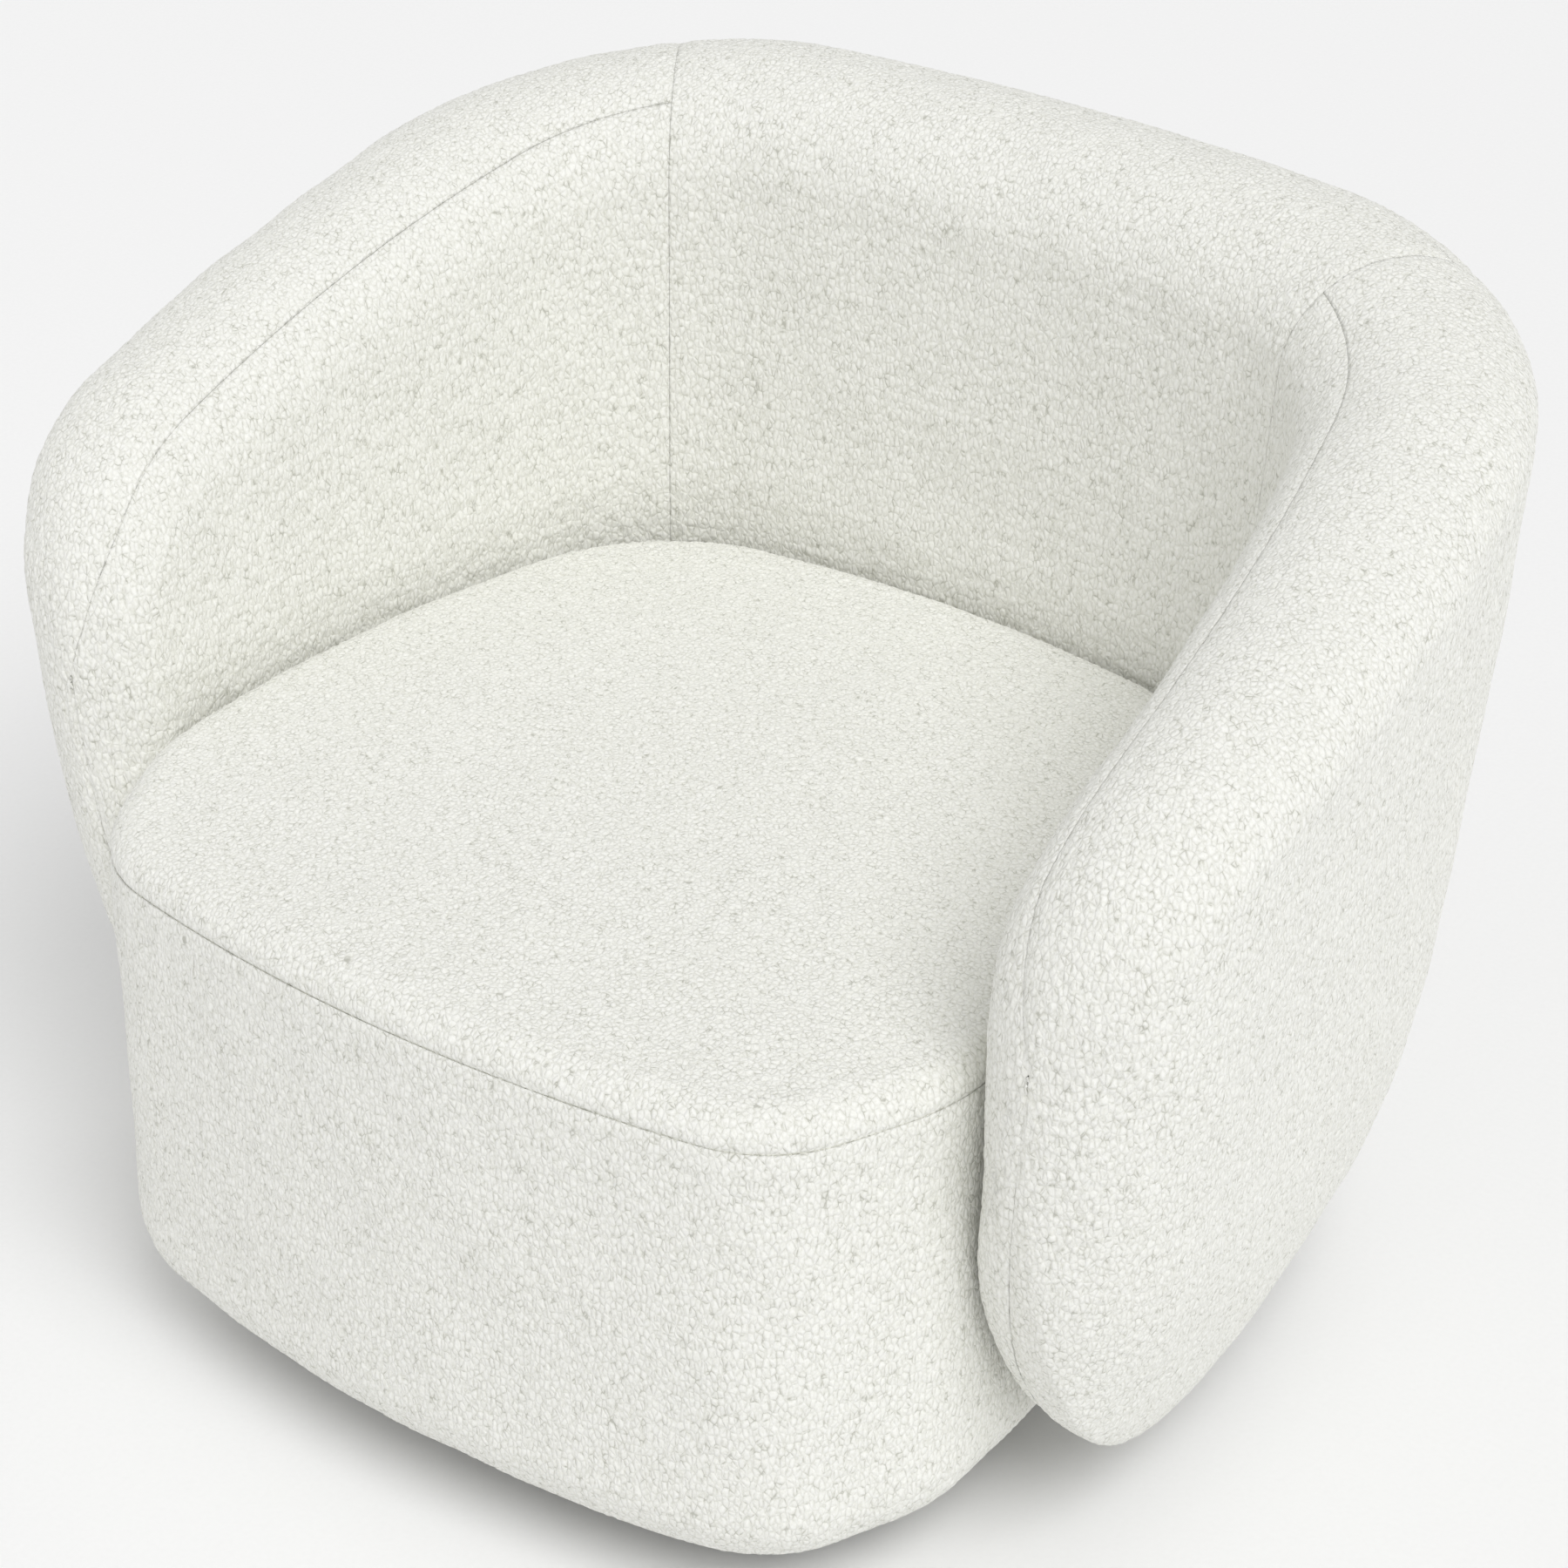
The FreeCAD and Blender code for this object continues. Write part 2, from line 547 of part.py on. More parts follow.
# ---- wrap-round wall ----
def make_wall_frame(holes, pockets):
    """The wooden skeleton of the back and arms, and the bent boards that line it."""
    slope = [(FRAME_REAR_S, TOP_RAIL_Z), (FRAME_TIP_S, TIP_TOP_Z)]
    toe = [(SILL_END_S, SILL_Z), (FRAME_TIP_S, TIP_BOTTOM_Z)]
    rear = [(0, SILL_Z), (0, TOP_RAIL_Z)]
    room = side_cut([rear[0], toe[0], toe[1], slope[1], slope[0], rear[1]])
    both_rooms = room.fuse(room.mirror(V(0, 0, 0), V(1, 0, 0))).removeSplitter()
    sunk_slope = [(s, z - RAIL_DEPTH) for s, z in slope]
    raised_toe = [(s, z + PLY) for s, z in toe]

    def arm_board(s_from, s_to, outline):
        band = wall_band(FRAME_IN, FRAME_OUT, s_from, s_to, SILL_Z, TOP_RAIL_Z)
        return band.common(side_cut(outline))

    sill = wall_band(FRAME_IN, FRAME_OUT, -SILL_END_S, SILL_END_S, SILL_Z, SILL_Z + PLY)
    save("wall_sill", sill.common(both_rooms))
    rail_low = TOP_RAIL_Z - RAIL_DEPTH
    back_rail = wall_band(FRAME_IN, FRAME_OUT, -FRAME_REAR_S, FRAME_REAR_S, rail_low, TOP_RAIL_Z)
    save("back_top_rail", back_rail.common(both_rooms))
    save("arm_top_rails", mirrored_pair(arm_board(FRAME_REAR_S, FRAME_TIP_S, slope + sunk_slope[::-1])))
    save("toe_rails", mirrored_pair(arm_board(SILL_END_S, FRAME_TIP_S, toe + raised_toe[::-1])))
    under_rails = [raised_toe[0], raised_toe[1], sunk_slope[1], sunk_slope[0]]
    tip_post = arm_board(FRAME_TIP_S - TIP_POST_WIDTH, FRAME_TIP_S, under_rails)
    save("tip_posts", mirrored_pair(tip_post))
    arm_room = [(FRAME_REAR_S, SILL_Z + PLY), raised_toe[0], raised_toe[1], sunk_slope[1], sunk_slope[0]]
    half = POST_WIDTH / 2
    save("arm_posts", mirrored_pair(arm_board(ARM_POST_S - half, ARM_POST_S + half, arm_room)))
    posts = [wall_band(FRAME_IN, FRAME_OUT, s - half, s + half, SILL_Z + PLY, rail_low) for s in BACK_POSTS_S]
    save("back_posts", Part.makeCompound(posts))

    last_stop = FRAME_TIP_S - TIP_POST_WIDTH + half
    stops = [-last_stop, -ARM_POST_S, *BACK_POSTS_S, ARM_POST_S, last_stop]
    rails = []
    for left, right in zip(stops, stops[1:]):
        rail = wall_band(FRAME_IN, FRAME_OUT, left + half, right - half, MID_RAIL_Z, MID_RAIL_Z + 30)
        rails.append(rail.cut(holes).cut(pockets))
    save("mid_rails", Part.makeCompound(rails))

    for name, n_in in (("inner_lining", FRAME_IN - LINING), ("outer_lining", FRAME_OUT)):
        board = wall_band(n_in, n_in + LINING, -FRAME_TIP_S, FRAME_TIP_S, SILL_Z + PLY, TOP_RAIL_Z)
        save(name, board.common(both_rooms).cut(holes))
    room_in = FRAME_IN - LINING
    room_out = FRAME_OUT + LINING
    hollow = wall_band(room_in, room_out, -FRAME_TIP_S, FRAME_TIP_S, SILL_Z, TOP_RAIL_Z)
    return hollow.common(both_rooms)


def make_wall_soft(hollow, holes):
    """Foam on both faces of the skeleton and the fabric panels over it."""
    outside = wall_solid(0)
    inside = wall_solid(FABRIC)
    wedge = back_wedge()
    left = box(-FAR, 0, -FAR, FAR, 0, FAR).cut(wedge)
    right = box(0, FAR, -FAR, FAR, 0, FAR).cut(wedge)
    foam = inside.cut(hollow).cut(holes)
    skin = outside.cut(inside).cut(holes)
    foam_split = inside_of_wall((FRAME_IN + FRAME_OUT) / 2)
    above = box(-FAR, FAR, -FAR, FAR, SEAM_START_Z, FAR)
    back_split = foam_split.cut(above).fuse(inside_of_wall(BACK_SEAM_N).common(above))
    arm_split = inside_of_wall(ARM_SEAM_N)
    regions = (("back", wedge, back_split), ("arm_left", left, arm_split), ("arm_right", right, arm_split))
    for where, region, skin_split in regions:
        padding = foam.common(region)
        cover = skin.common(region)
        save("inside_" + where + "_foam", padding.common(foam_split))
        save("outside_" + where + "_foam", padding.cut(foam_split))
        save("inside_" + where + "_panel", cover.common(skin_split))
        save("outside_" + where + "_panel", cover.cut(skin_split))


os.makedirs("parts", exist_ok=True)
bolts, inserts, bolt_holes, insert_holes = join_bolts()
save("joining_bolts", bolts)
save("threaded_inserts", inserts)
make_base()
make_seat(bolt_holes)
frame_hollow = make_wall_frame(bolt_holes, insert_holes)
make_wall_soft(frame_hollow, bolt_holes)
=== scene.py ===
"""Ivory boucle tub armchair on a hidden swivel base: the upholstery and every material.

Metres, +Z up, origin on the floor at the middle of the chair, the seat opens towards -Y.
A place on the wrap-round wall is given by s, the distance along its plan line from the middle of
the back (left negative), by n, the distance outwards from that line, and by z.
"""

import json
import math

import bpy
import numpy as np
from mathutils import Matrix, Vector


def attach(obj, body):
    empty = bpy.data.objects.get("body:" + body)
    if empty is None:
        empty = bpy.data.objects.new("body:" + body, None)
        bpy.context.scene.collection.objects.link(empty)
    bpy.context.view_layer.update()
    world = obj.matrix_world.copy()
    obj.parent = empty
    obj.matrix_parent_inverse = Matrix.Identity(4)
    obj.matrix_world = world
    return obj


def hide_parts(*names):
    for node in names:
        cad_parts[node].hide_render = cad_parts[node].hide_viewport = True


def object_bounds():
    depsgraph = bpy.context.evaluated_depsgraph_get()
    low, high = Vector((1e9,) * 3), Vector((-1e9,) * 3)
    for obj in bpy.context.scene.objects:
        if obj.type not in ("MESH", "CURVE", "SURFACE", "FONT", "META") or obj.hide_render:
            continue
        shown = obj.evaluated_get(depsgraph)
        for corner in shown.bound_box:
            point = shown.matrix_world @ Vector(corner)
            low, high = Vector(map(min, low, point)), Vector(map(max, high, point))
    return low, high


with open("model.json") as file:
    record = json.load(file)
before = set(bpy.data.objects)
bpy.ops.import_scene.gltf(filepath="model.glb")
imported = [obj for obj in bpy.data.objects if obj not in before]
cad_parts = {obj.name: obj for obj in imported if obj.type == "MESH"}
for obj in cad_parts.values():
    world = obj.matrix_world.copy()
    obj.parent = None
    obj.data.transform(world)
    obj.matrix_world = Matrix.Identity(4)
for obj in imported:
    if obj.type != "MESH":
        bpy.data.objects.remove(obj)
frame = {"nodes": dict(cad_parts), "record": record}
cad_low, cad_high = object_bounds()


# ---- boucle cloth ----
# Looped ivory yarn, knitted so that small tufts stand in loose upright columns. The tufts are
# real relief in every cloth mesh; the loops of single yarns are finer and are left to the material.
TUFT_WIDTH = 0.0054
TUFT_HEIGHT = 0.0092
TUFT_RELIEF = 0.0005
LOOPS_PER_TUFT = 1.45        # across and up; a real loop is finer, and would not show
LOOP_RELIEF = 0.0009
LOOP_DRIFT = 0.0012          # how far the loops wander out of line,
DRIFT_WIDTH = 0.006          # and over what distance
PATCH_WIDTH = 0.0045         # the gaps between loops open and close from patch to patch
PATCH_STRENGTH = 0.36
PATCH_LEVEL = 0.24
YARN_WIDTH = 0.0020


def linear(hex_colour):
    """Linear colour of an sRGB hex value: each channel is undone by the sRGB curve."""
    channels = [int(hex_colour[k:k + 2], 16) / 255 for k in (0, 2, 4)]
    return tuple([c / 12.92 if c <= 0.04045 else ((c + 0.055) / 1.055) ** 2.4 for c in channels] + [1.0])


def add_node(tree, kind, settings=None, **inputs):
    """Adds a node: settings are its own properties, inputs are values or another node's output.

    An input has its socket's name, with _ for a space, or is _ and the socket's number.
    """
    node = tree.nodes.new(kind)
    for name, value in (settings or {}).items():
        setattr(node, name, value)
    for name, value in inputs.items():
        socket = node.inputs[int(name[1:])] if name[1:].isdigit() else node.inputs[name.replace("_", " ")]
        if isinstance(value, bpy.types.NodeSocket):
            tree.links.new(value, socket)
        else:
            socket.default_value = value
    return node


def new_material(name):
    """An empty material with its shader: returns the material, its tree and the shader node."""
    material = bpy.data.materials.new(name)
    material.use_nodes = True
    tree = material.node_tree
    return material, tree, tree.nodes["Principled BSDF"]


def place_in(tree, **mapping):
    """Object coordinates through a Mapping node, so that a pattern has its real size."""
    coords = add_node(tree, "ShaderNodeTexCoord")
    return add_node(tree, "ShaderNodeMapping", Vector=coords.outputs["Object"], **mapping).outputs["Vector"]


def ramp(tree, factor, stops):
    """Colour ramp through (position, hex colour) stops."""
    node = add_node(tree, "ShaderNodeValToRGB", Fac=factor)
    elements = node.color_ramp.elements
    while len(elements) < len(stops):
        elements.new(0.5)
    for element, (position, colour) in zip(elements, stops):
        element.position = position
        element.color = linear(colour)
    return node.outputs["Color"]


def boucle_material():
    """Ivory boucle knit, polyester and wool: matt, softly sheened, with painted shade darkening the hollows
    between loops.
    """
    material, tree, shader = new_material("boucle_ivory_knit")
    drift = add_node(tree, "ShaderNodeTexNoise", Vector=place_in(tree), Scale=1 / DRIFT_WIDTH, Detail=1.0)
    bent = add_node(
        tree, "ShaderNodeVectorMath", {"operation": "MULTIPLY_ADD"},
        _0=drift.outputs["Color"], _1=(LOOP_DRIFT,) * 3, _2=place_in(tree))
    cells = add_node(
        tree, "ShaderNodeMapping", Vector=bent.outputs["Vector"],
        Scale=(1 / TUFT_WIDTH, 1 / TUFT_WIDTH, 1 / TUFT_HEIGHT))
    tuft = add_node(
        tree, "ShaderNodeTexVoronoi", {"feature": "DISTANCE_TO_EDGE"},
        Vector=cells.outputs["Vector"], Scale=LOOPS_PER_TUFT, Randomness=0.9)
    patches = add_node(
        tree, "ShaderNodeTexNoise", Vector=place_in(tree, Scale=(1, 1, 0.7)),
        Scale=1 / PATCH_WIDTH, Detail=1.0)
    yarn = add_node(
        tree, "ShaderNodeTexNoise", Vector=place_in(tree, Scale=(1, 1, 0.6)),
        Scale=1 / YARN_WIDTH, Detail=2.0, Roughness=0.65)
    gap = add_node(
        tree, "ShaderNodeMath", {"operation": "MULTIPLY_ADD"},
        _0=patches.outputs["Fac"], _1=-PATCH_STRENGTH, _2=tuft.outputs["Distance"])
    shifted = add_node(
        tree, "ShaderNodeMath", {"operation": "ADD"}, _0=gap.outputs["Value"], _1=PATCH_LEVEL)
    # Painted shade: the colour is darkened in the hollows between loops, where the cells' edges lie, on top
    # of the bump.
    painted_hollow_shade = ramp(
        tree, shifted.outputs["Value"], [(0.0, "C6C6BE"), (0.08, "EEEEE8"), (0.20, "FBFBF7")])
    strands = ramp(
        tree, yarn.outputs["Fac"], [(0.32, "F0F0EC"), (0.50, "FBFBF9"), (0.68, "FFFFFF")])
    colour = add_node(
        tree, "ShaderNodeMix", {"data_type": "RGBA", "blend_type": "MULTIPLY"},
        _0=1.0, _6=painted_hollow_shade, _7=strands)
    pillow = add_node(
        tree, "ShaderNodeMapRange", {"interpolation_type": "SMOOTHSTEP"},
        Value=shifted.outputs["Value"], From_Min=0.0, From_Max=0.4, To_Min=0.0, To_Max=1.0)
    relief = add_node(
        tree, "ShaderNodeMath", {"operation": "MULTIPLY_ADD"},
        _0=yarn.outputs["Fac"], _1=0.5, _2=pillow.outputs["Result"])
    bump = add_node(
        tree, "ShaderNodeBump", Strength=0.6, Distance=LOOP_RELIEF, Height=relief.outputs["Value"])
    tree.links.new(colour.outputs[2], shader.inputs["Base Color"])
    tree.links.new(bump.outputs["Normal"], shader.inputs["Normal"])
    shader.inputs["Roughness"].default_value = 0.93
    shader.inputs["Specular IOR Level"].default_value = 0.25
    shader.inputs["Sheen Weight"].default_value = 0.25
    shader.inputs["Sheen Roughness"].default_value = 0.55
    return material


BOUCLE = boucle_material()


def finish(slots):
    """Gives each part of the frame whose finish is named here that material."""
    for part in frame["record"]["subparts"]:
        if part["material_slot"] in slots:
            materials = frame["nodes"][part["node"]].data.materials
            materials.clear()
            materials.append(slots[part["material_slot"]])


finish({"boucle_fabric": BOUCLE})

CLOTH_STEP = 0.0026          # spacing of the mesh, about half a tuft
SEAM_WIDTH = 0.0060          # the cloth dips over this distance towards a seam
SEAM_DIP = 0.0011
SEAM_LIP = 0.0002            # width of the last strip, which turns down into the seam
SEAM_TURN_IN = 0.0030
TUFT_FADE = 0.004            # tufts lie flatter this near to a seam
LUMP_HEIGHT = 0.0012         # slow unevenness of the padding, which a seam holds level
LUMP_FADE = 0.030
WAVE_STRETCH = 1.25          # length of a relief wave in tufts


def bell(distance, width):
    """Bell curve: 1 on the seam, next to nothing two widths away."""
    return np.exp(-(distance / width) ** 2)


def tufts(points):
    """Relief of the tufts: a sum of random waves a little over a tuft long, levelled off by tanh."""
    rng = np.random.default_rng(7)
    total = np.zeros(len(points))
    count = 26
    for _ in range(count):
        direction = rng.normal(size=3)
        direction /= np.linalg.norm(direction)
        wave = 2 * math.pi * direction / np.array([TUFT_WIDTH, TUFT_WIDTH, TUFT_HEIGHT]) / WAVE_STRETCH
        total += np.sin(points @ wave + rng.uniform(0, 2 * math.pi))
    return np.tanh(total / math.sqrt(count / 2))


def lumps(points):
    """Slow unevenness of the padding under the cloth: a sum of random waves 60 to 200 mm long."""
    rng = np.random.default_rng(11)
    total = np.zeros(len(points))
    for _ in range(12):
        direction = rng.normal(size=3)
        direction /= np.linalg.norm(direction)
        wavelength = rng.uniform(0.06, 0.20)
        phase = rng.uniform(0, 2 * math.pi)
        total += np.sin(points @ direction * 2 * math.pi / wavelength + phase)
    return total / 5


def spaced(length, seam_start, seam_end):
    """Places from 0 to 1 along a panel: evenly spaced, with one narrow lip at each seamed edge."""
    count = max(int(round(length / CLOTH_STEP)), 4)
    start = [0.0, SEAM_LIP / length] if seam_start else [0.0]
    end = [1 - SEAM_LIP / length, 1.0] if seam_end else [1.0]
    middle = np.linspace(start[-1], end[0], count)
    return np.concatenate([start[:-1], middle, end[1:]])


def from_edge(grid, axis, seam_start, seam_end):
    """Distance of every grid point from the seamed edges across one axis."""
    steps = np.linalg.norm(np.diff(grid, axis=axis), axis=2)
    shape = list(steps.shape)
    shape[axis] = 1
    run = np.concatenate([np.zeros(shape), np.cumsum(steps, axis=axis)], axis=axis)
    last = np.take(run, [-1], axis=axis)
    nearest = np.full(run.shape, 1.0)
    if seam_start:
        nearest = np.minimum(nearest, run)
    if seam_end:
        nearest = np.minimum(nearest, last - run)
    return nearest


def cloth(name, grids, cores, seams):
    """Sews grids of points into one cloth mesh, then raises its tufts and sinks its seams.

    grids are arrays of points, rows by columns by 3, and cores the point inside the padding that
    each one faces; seams says for each grid which of its edges are seamed: first row, last row,
    first column, last column. The relief is added along the mesh's normals: tufts, plus the slow
    unevenness, less a bell-shaped dip. The edge itself turns in towards the core, so that two
    panels sewn together meet down in their seam.
    """
    places = []
    inner = []
    distances = []
    edges = []
    corners = []
    start = 0
    for grid, core, (row_start, row_end, column_start, column_end) in zip(grids, cores, seams):
        rows, columns = grid.shape[:2]
        near = np.minimum(
            from_edge(grid, 0, row_start, row_end), from_edge(grid, 1, column_start, column_end))
        edge = np.zeros((rows, columns), dtype=bool)
        edge[0] |= row_start
        edge[-1] |= row_end
        edge[:, 0] |= column_start
        edge[:, -1] |= column_end
        index = np.arange(rows * columns).reshape(rows, columns) + start
        quads = [index[:-1, :-1], index[:-1, 1:], index[1:, 1:], index[1:, :-1]]
        places.append(grid.reshape(-1, 3))
        inner.append(core.reshape(-1, 3))
        distances.append(near.reshape(-1))
        edges.append(edge.reshape(-1))
        corners.append(np.stack(quads, axis=2).reshape(-1, 4))
        start += rows * columns
    places = np.concatenate(places)
    inner = np.concatenate(inner)
    distances = np.concatenate(distances)
    edges = np.concatenate(edges)
    corners = np.concatenate(corners)
    _, kept, merged = np.unique(np.round(places, 6), axis=0, return_index=True, return_inverse=True)
    merged = merged.reshape(-1)
    places = places[kept]
    inner = inner[kept]
    distances = distances[kept]
    edges = edges[kept]
    corners = merged[corners]
    triangles = np.concatenate([corners[:, [0, 1, 2]], corners[:, [0, 2, 3]]])
    a, b, c = triangles.T
    triangles = triangles[(a != b) & (b != c) & (c != a)]

    mesh = bpy.data.meshes.new(name)
    mesh.vertices.add(len(places))
    mesh.vertices.foreach_set("co", places.reshape(-1))
    mesh.loops.add(triangles.size)
    mesh.loops.foreach_set("vertex_index", triangles.reshape(-1).astype(np.int32))
    mesh.polygons.add(len(triangles))
    mesh.polygons.foreach_set("loop_start", np.arange(0, triangles.size, 3, dtype=np.int32))
    mesh.polygons.foreach_set("use_smooth", np.ones(len(triangles), dtype=bool))
    mesh.update()
    normals = np.empty(places.size)
    mesh.vertices.foreach_get("normal", normals)
    normals = normals.reshape(-1, 3)
    dip = SEAM_DIP * bell(distances, SEAM_WIDTH)
    rise = TUFT_RELIEF * tufts(places) * (1 - 0.6 * bell(distances, TUFT_FADE))
    rise += LUMP_HEIGHT * lumps(places) * (1 - bell(distances, LUMP_FADE))
    inwards = inner - places
    inwards /= np.maximum(np.linalg.norm(inwards, axis=1), 1e-6)[:, None]
    finished = places + normals * (rise - dip)[:, None]
    finished[edges] = (places + inwards * SEAM_TURN_IN)[edges]
    mesh.vertices.foreach_set("co", finished.reshape(-1))
    mesh.update()
    mesh.materials.append(BOUCLE)
    piece = bpy.data.objects.new(name, mesh)
    bpy.context.scene.collection.objects.link(piece)
    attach(piece, "chair")
    return piece


# ---- wrap-round wall ----
# One padded wall makes the back and both arms. Foam on both faces of a wooden skeleton is covered
# by six panels: an inside and an outside one for the back and for each arm, sewn edge to edge.
WALL_HALF_LENGTH = 0.835
WALL_HALF_THICKNESS = 0.073
CHAIR_HEIGHT = 0.725
WALL_BOTTOM = 0.050
BACK_LINE_Y = 0.301
BACK_RADIUS = 1.358
BACK_HALF_ANGLE = math.radians(8.35)
CORNER_RADIUS = 0.193
CORNER_ANGLE = math.radians(66.5)
ARM_RADIUS = 1.452
CORNER_SEAM = 0.281          # s of the seams between the back's panels and the arms'
ARM_FALL_FROM = 0.202        # s where the top line starts to fall towards the arm's tip,
ARM_FALL = 0.168             # how far it falls in all,
ARM_FALL_POWER = 1.43        # and how late
NOSE_Z = 0.423
NOSE_ABOVE = 0.120           # length of the nose's rounding above its foremost point
NOSE_BELOW = 0.242
NOSE_ROUND = 0.105           # in plan, on the outer side
NOSE_INNER_ROUND = 0.045
NOSE_INWARDS = 0.014         # how far the foremost point lies nearer to the sitter
TIP_INWARDS = 0.012          # how far the whole wall bends in at its tip
TIP_THINNER = 0.12           # share of the thickness that is gone there
INNER_UNDER_ROUND = 0.058    # heights of the roundings at the bottom and the top
OUTER_UNDER_ROUND = 0.230
INNER_TOP_ROUND = 0.068
OUTER_TOP_ROUND = 0.050
KEEL_OUTWARDS = 0.026        # how far outwards the lowest line lies
LEAN_Z = 0.427               # height at which the wall stands over its plan line
LEAN = 0.088
LEAN_EASE = 0.049            # the lean eases off with the square of the height
INNER_SEAM = 0.66            # share of the half thickness at which each top seam runs
OUTER_SEAM = 0.62
UNDER_SEAM = 0.45


def arc_place(centre, radius, angle):
    """Point on a circle, the angle turned from +Y towards +X."""
    return centre + radius * np.stack([np.sin(angle), np.cos(angle)], axis=-1)


WALL_TURN = BACK_HALF_ANGLE + CORNER_ANGLE
BACK_CENTRE = np.array([0.0, BACK_LINE_Y - BACK_RADIUS])
CORNER_CENTRE = arc_place(BACK_CENTRE, BACK_RADIUS - CORNER_RADIUS, BACK_HALF_ANGLE)
ARM_CENTRE = arc_place(CORNER_CENTRE, CORNER_RADIUS - ARM_RADIUS, WALL_TURN)
CORNER_FROM = BACK_RADIUS * BACK_HALF_ANGLE
ARM_FROM = CORNER_FROM + CORNER_RADIUS * CORNER_ANGLE


def wall_plan(s):
    """Plan point and outward direction at s: an arc behind the sitter, a tight corner, a flat arm arc."""
    along = np.abs(s)
    behind = along < CORNER_FROM
    corner = along < ARM_FROM
    angle = np.select(
        [behind, corner],
        [along / BACK_RADIUS, BACK_HALF_ANGLE + (along - CORNER_FROM) / CORNER_RADIUS],
        WALL_TURN + (along - ARM_FROM) / ARM_RADIUS)
    plan = np.select(
        [behind[..., None], corner[..., None]],
        [arc_place(BACK_CENTRE, BACK_RADIUS, angle), arc_place(CORNER_CENTRE, CORNER_RADIUS, angle)],
        arc_place(ARM_CENTRE, ARM_RADIUS, angle))
    outward = np.stack([np.sin(angle), np.cos(angle)], axis=-1)
    mirror = np.stack([np.where(s < 0, -1.0, 1.0), np.ones_like(along)], axis=-1)
    return plan * mirror, outward * mirror


def round_in(distance, size):
    """Fraction of full width at a distance inside an elliptical rounding of that size."""
    u = np.clip(distance / size, 0, 1)
    return np.sqrt(1 - (1 - u) ** 2)


def nose_curve(k):
    """Quarter of a superellipse of power 2.55: 1 where the nose starts, 0 at its tip."""
    power = 2.55
    return np.maximum(1 - np.clip(k, 0, 1) ** power, 0) ** (1 / power)


def wall_surface(s, side, q):
    """Points of the wall's face on one side (-1 inside, 1 outside).

    q runs from 0 at the lowest line to 3 at the crest: an elliptical quarter under, a straight
    face and an elliptical quarter over, softer over the inside than over the outside. Height and
    thickness fall to a rounded nose at each tip, and the whole wall leans outwards with height.
    """
    from_tip = WALL_HALF_LENGTH - np.abs(s)
    fall = np.maximum(np.abs(s) - ARM_FALL_FROM, 0) / (WALL_HALF_LENGTH - ARM_FALL_FROM)
    crest = CHAIR_HEIGHT - ARM_FALL * fall ** ARM_FALL_POWER
    top = NOSE_Z + (crest - NOSE_Z) * nose_curve(1 - from_tip / NOSE_ABOVE)
    bottom = NOSE_Z - (NOSE_Z - WALL_BOTTOM) * nose_curve(1 - from_tip / NOSE_BELOW)
    k = np.clip((np.abs(s) / WALL_HALF_LENGTH - 0.45) / 0.55, 0, 1)
    towards_tip = k * k * (3 - 2 * k)
    height = top - bottom
    under = np.minimum(INNER_UNDER_ROUND if side < 0 else OUTER_UNDER_ROUND, 0.55 * height)
    over = np.minimum(INNER_TOP_ROUND if side < 0 else OUTER_TOP_ROUND, 0.4 * height)
    low = np.clip(q, 0, 1) * math.pi / 2
    high = np.clip(3 - q, 0, 1) * math.pi / 2
    z = bottom + under * (1 - np.cos(low)) + (height - under - over) * np.clip(q - 1, 0, 1)
    z = z + over * np.cos(high) * (q > 2)
    width = np.sin(low) * np.sin(high)
    centre = -NOSE_INWARDS * (1 - round_in(from_tip, NOSE_ROUND))
    half = WALL_HALF_THICKNESS * (1 - TIP_THINNER * towards_tip)
    edge = centre + (side * half - centre) * round_in(from_tip, NOSE_INNER_ROUND if side < 0 else NOSE_ROUND)
    keel = centre + KEEL_OUTWARDS * round_in(from_tip, NOSE_ROUND) * (1 - np.sin(low))
    n = keel + (edge - keel) * width - TIP_INWARDS * towards_tip
    rise = z - LEAN_Z
    leaning = 1.0 if side > 0 else np.where(rise > 0, 1.0, 1 - np.sin(low))
    n = n + (LEAN * rise - LEAN_EASE * rise ** 2) * leaning
    plan, outward = wall_plan(s)
    return np.concatenate([plan + outward * n[..., None], z[..., None]], axis=-1)


def wall_stations(s_from, s_to, side, seam_start, seam_end):
    """Places along the wall, evenly spaced on that face, measured over five of its lines."""
    share = np.linspace(0, 1, 3001)
    tips = WALL_HALF_LENGTH * np.sign(share - 0.5) * (1 - (1 - np.abs(2 * share - 1)) ** 2)
    s = np.unique(np.concatenate([[s_from], tips[(tips > s_from) & (tips < s_to)], [s_to]]))
    lines = wall_surface(s[None, :], side, np.array([[0.5], [1.0], [1.5], [2.0], [3.0]]) + 0 * s)
    run = np.concatenate([[0], np.cumsum(np.linalg.norm(np.diff(lines, axis=1), axis=2).max(axis=0))])
    return np.interp(spaced(run[-1], seam_start, seam_end) * run[-1], run, s)


CORE_DEPTH = 0.060


def wall_core(s, z):
    """Point in the middle of the padding that faces a place on the wall's surface."""
    s_core = np.clip(s, CORE_DEPTH - WALL_HALF_LENGTH, WALL_HALF_LENGTH - CORE_DEPTH)
    crest = wall_surface(s_core, 1, 3.0 + 0 * s_core)
    lowest = wall_surface(s_core, 1, 0 * s_core)
    z_core = np.clip(z, lowest[..., 2] + CORE_DEPTH, crest[..., 2] - CORE_DEPTH)
    return np.concatenate([crest[..., :2], z_core[..., None]], axis=-1)


